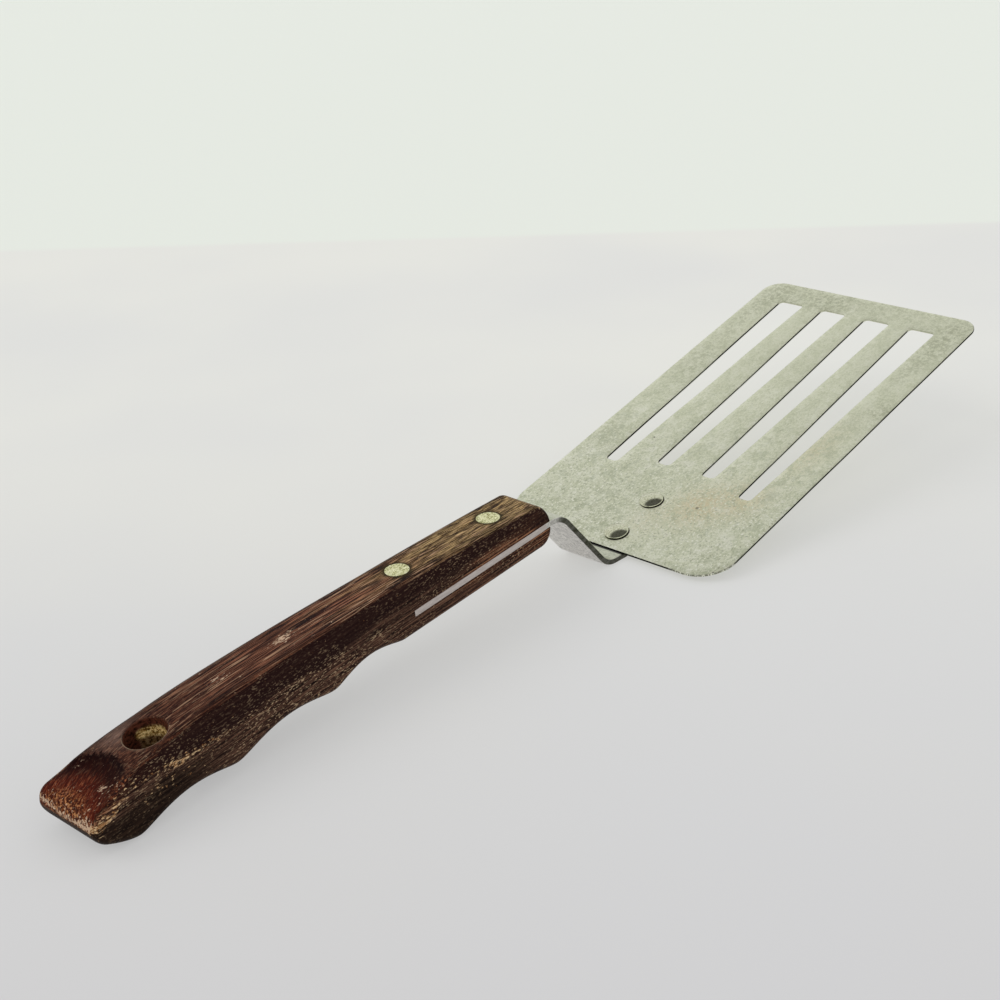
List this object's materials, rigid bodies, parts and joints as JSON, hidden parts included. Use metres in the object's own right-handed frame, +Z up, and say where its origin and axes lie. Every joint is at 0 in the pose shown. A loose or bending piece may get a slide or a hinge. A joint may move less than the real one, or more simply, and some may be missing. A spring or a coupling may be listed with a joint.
{
  "type": "spatula",
  "caption": "Slotted kitchen turner: flat thin steel blade riveted to a cranked steel strip let into a shaped wooden handle with a hanging hole.",
  "frame": {"origin": "on the table under the middle of the part: the middle of the bounding box's bottom face", "axes": "+X from the butt of the handle to the blade's far edge, +Y to the left, +Z up from the table"},
  "size_m": [0.3102, 0.076, 0.0345],
  "materials": {
    "blade": "worn satin",
    "shank": "dull rolled",
    "handle": "oiled dark hardwood, worn",
    "blade_rivets": "worn satin",
    "handle_rivets": "worn flush"
  },
  "bodies": {
    "root": {"blade": "blade", "shank": "shank", "handle": "handle", "blade_rivet_near": "blade_rivets", "blade_rivet_far": "blade_rivets", "rivet_tube_front": "handle_rivets", "rivet_pin_front": "handle_rivets", "rivet_tube_rear": "handle_rivets", "rivet_pin_rear": "handle_rivets"}
  },
  "joints": []
}
